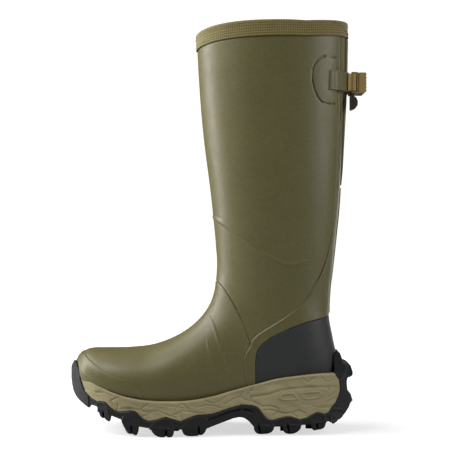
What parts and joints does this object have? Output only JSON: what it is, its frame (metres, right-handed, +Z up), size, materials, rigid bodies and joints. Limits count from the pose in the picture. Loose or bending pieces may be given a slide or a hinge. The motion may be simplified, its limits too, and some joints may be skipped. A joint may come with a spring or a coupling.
{
  "type": "insulated rubber hunting boot",
  "caption": "Knee-high insulated rubber boot for the left foot, with a lugged sole, a foam lining, a calf gusset and a buckled back strap.",
  "frame": {"origin": "centre of the bounding box in X and Y, on the ground under the lugs", "axes": "+Z up the shaft, toe towards -X, heel towards +X, the foot's outer side towards -Y"},
  "size_m": [0.3286, 0.1132, 0.452],
  "materials": {
    "olive_rubber": "satin",
    "charcoal_rubber": "matte",
    "black_rubber": "matte",
    "tan_foam": "matte",
    "tan_foam2": "matte",
    "foam": "matte",
    "knit": "matte",
    "fibre_board": "matte",
    "steel": "brushed",
    "olive_tape": "matte",
    "thread": "matte",
    "tan_webbing": "matte",
    "buckle_plastic": "satin"
  },
  "bodies": {
    "boot": {"vamp": "olive_rubber", "shaft_panel": "olive_rubber", "back_quarter": "olive_rubber", "heel_counter": "charcoal_rubber", "toe_guard": "olive_rubber", "instep_ribs": "olive_rubber", "shin_rib": "olive_rubber", "side_rib": "olive_rubber", "gusset": "olive_rubber", "back_stay": "olive_rubber", "toe_puff": "fibre_board", "heel_stiffener": "fibre_board", "foam_lining": "foam", "knit_liner": "knit", "top_binding": "olive_tape", "binding_stitching": "thread", "footbed": "tan_foam2", "footbed_cover": "knit", "insole_board": "fibre_board", "shank": "steel", "midsole": "tan_foam", "outsole": "black_rubber", "strap_patch_outer": "olive_rubber", "strap_patch_inner": "olive_rubber", "strap_tab_outer": "olive_rubber", "strap_tab_inner": "olive_rubber", "webbing_outer": "tan_webbing", "webbing_inner": "tan_webbing", "buckle_female": "buckle_plastic", "tail_keeper": "buckle_plastic"},
    "buckle_male": {"buckle_male": "buckle_plastic"},
    "strap_tail": {"strap_tail": "tan_webbing"}
  },
  "joints": [
    {"name": "buckle_release", "type": "slide", "parent": "boot", "child": "buckle_male", "axis": [0, 1, 0], "range_m": [0, 0.018], "deforming": ["webbing_inner"]},
    {"name": "tail_swing", "type": "hinge", "parent": "boot", "child": "strap_tail", "pos_m": [0.1496, -0.0165, 0.3703], "axis": [0, -1, 0], "range_deg": [0, 60]}
  ]
}
